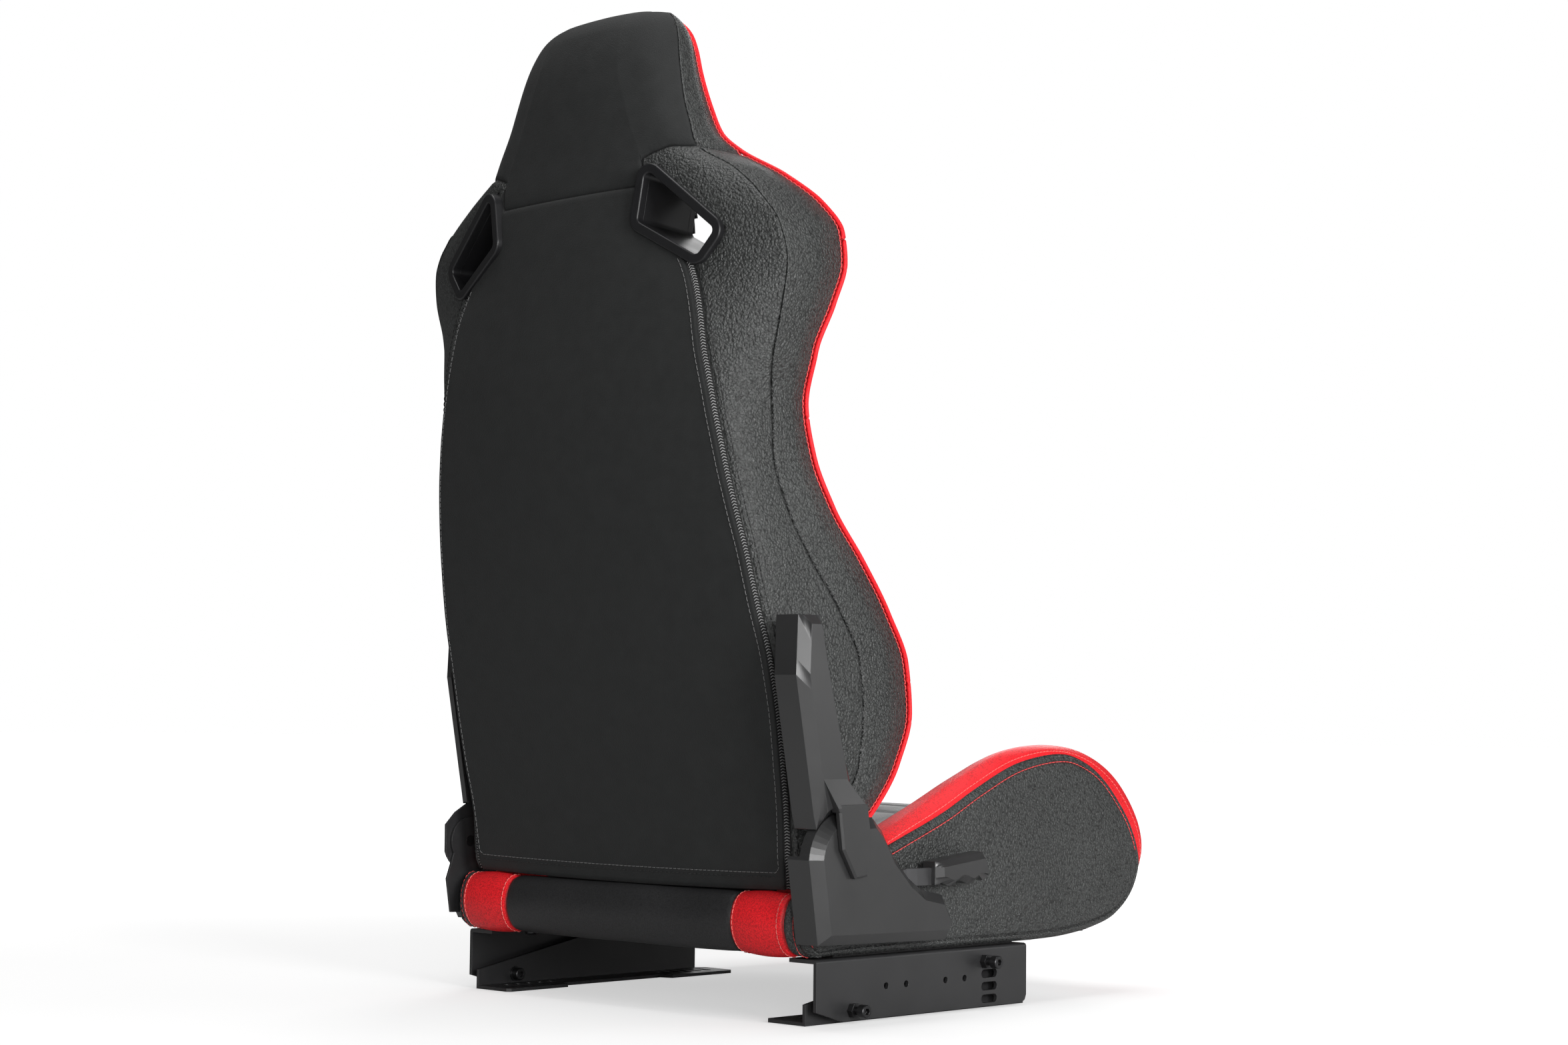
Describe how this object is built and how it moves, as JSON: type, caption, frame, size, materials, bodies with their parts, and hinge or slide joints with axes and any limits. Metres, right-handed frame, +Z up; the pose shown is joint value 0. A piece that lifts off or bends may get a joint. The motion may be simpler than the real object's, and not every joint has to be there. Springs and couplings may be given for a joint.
{
  "type": "racing seat",
  "caption": "Reclining bucket seat with shoulder and head wings, side vents, lever recliner and height-adjustable slotted side brackets.",
  "frame": {"origin": "centre of the four floor-slot positions, on the floor plane under the brackets", "axes": "+Z is up, the seat faces -Y, and -X is the occupant's right-hand side, where the recline lever is"},
  "size_m": [0.583, 0.668, 1.012],
  "materials": {
    "bracket_steel": "satin black powder coat",
    "zinc_steel": "dark zinc",
    "spring_steel": "oiled spring steel",
    "lever_steel": "satin grey paint",
    "tube_steel": "black paint",
    "charcoal_plastic": "fine texture, lighter bevels",
    "black_plastic": "matte",
    "black_padding": "grained black leatherette over foam",
    "red_padding": "smooth red leatherette over foam",
    "grey_padding": "black and grey leatherette over foam",
    "panel_cloth": "fine-grained black panel",
    "zip_tape": "black tape with grey coil",
    "red_piping": "red edge"
  },
  "bodies": {
    "base": {"base_bolster_left": "red_padding", "base_bolster_right": "red_padding", "base_bottom_cover": "black_plastic", "base_cushion": "black_padding", "base_frame": "tube_steel", "base_rear_corner_left": "red_padding", "base_rear_corner_right": "red_padding", "base_rear_roll": "black_padding", "base_side_panel_left": "black_padding", "base_side_panel_right": "black_padding", "bracket_bolts_left": "zinc_steel", "bracket_bolts_right": "zinc_steel", "bracket_nuts_left": "zinc_steel", "bracket_nuts_right": "zinc_steel", "bracket_spacers": "bracket_steel", "bracket_washers": "zinc_steel", "lever_return_spring": "spring_steel", "lock_pins": "zinc_steel", "lower_bracket_left": "bracket_steel", "lower_bracket_right": "bracket_steel", "lower_cover_left": "charcoal_plastic", "lower_cover_right": "charcoal_plastic", "mount_screws": "zinc_steel", "pivot_pin_left": "zinc_steel", "pivot_pin_right": "zinc_steel", "plate_screws": "zinc_steel", "rail_plate_left": "bracket_steel", "rail_plate_right": "bracket_steel", "recliner_plate_left": "bracket_steel", "recliner_plate_right": "bracket_steel", "recliner_spiral_spring": "spring_steel", "seat_springs": "spring_steel", "upper_bracket_left": "bracket_steel", "upper_bracket_right": "bracket_steel"},
    "backrest": {"backrest_frame": "tube_steel", "arm_mount_plates": "bracket_steel", "backrest_pad": "grey_padding", "head_pad": "black_padding", "back_panel": "panel_cloth", "backrest_wing_left": "black_padding", "backrest_wing_right": "black_padding", "zip_left": "zip_tape", "zip_right": "zip_tape", "piping_left": "red_piping", "piping_right": "red_piping", "vent_bezel_front_left": "black_plastic", "vent_bezel_front_right": "black_plastic", "vent_bezel_rear_left": "black_plastic", "vent_bezel_rear_right": "black_plastic", "vent_sleeve_left": "black_plastic", "vent_sleeve_right": "black_plastic", "recliner_arm_left": "bracket_steel", "recliner_arm_right": "bracket_steel", "arm_screws_left": "zinc_steel", "arm_screws_right": "zinc_steel", "arm_cover_left": "charcoal_plastic", "arm_cover_right": "charcoal_plastic"},
    "lever": {"lever_strap": "lever_steel", "lever_grip": "charcoal_plastic"},
    "pawl": {"locking_pawl": "bracket_steel"}
  },
  "joints": [
    {"name": "backrest_recline", "type": "hinge", "parent": "base", "child": "backrest", "pos_m": [0, 0.172, 0.158], "axis": [-1, 0, 0], "range_deg": [-8, 55]},
    {"name": "recline_lever", "type": "hinge", "parent": "base", "child": "lever", "pos_m": [-0.272, 0.118, 0.122], "axis": [-1, 0, 0], "range_deg": [0, 25], "stiffness_Nm_per_rad": 0.6, "springref_deg": -28.65},
    {"name": "lock_pawl", "type": "hinge", "parent": "base", "child": "pawl", "pos_m": [-0.2675, 0.128, 0.104], "axis": [-1, 0, 0], "range_deg": [0, 20]}
  ],
  "couplings": [
    {"joint": "lock_pawl", "follows": "recline_lever", "ratio": 0.8}
  ]
}
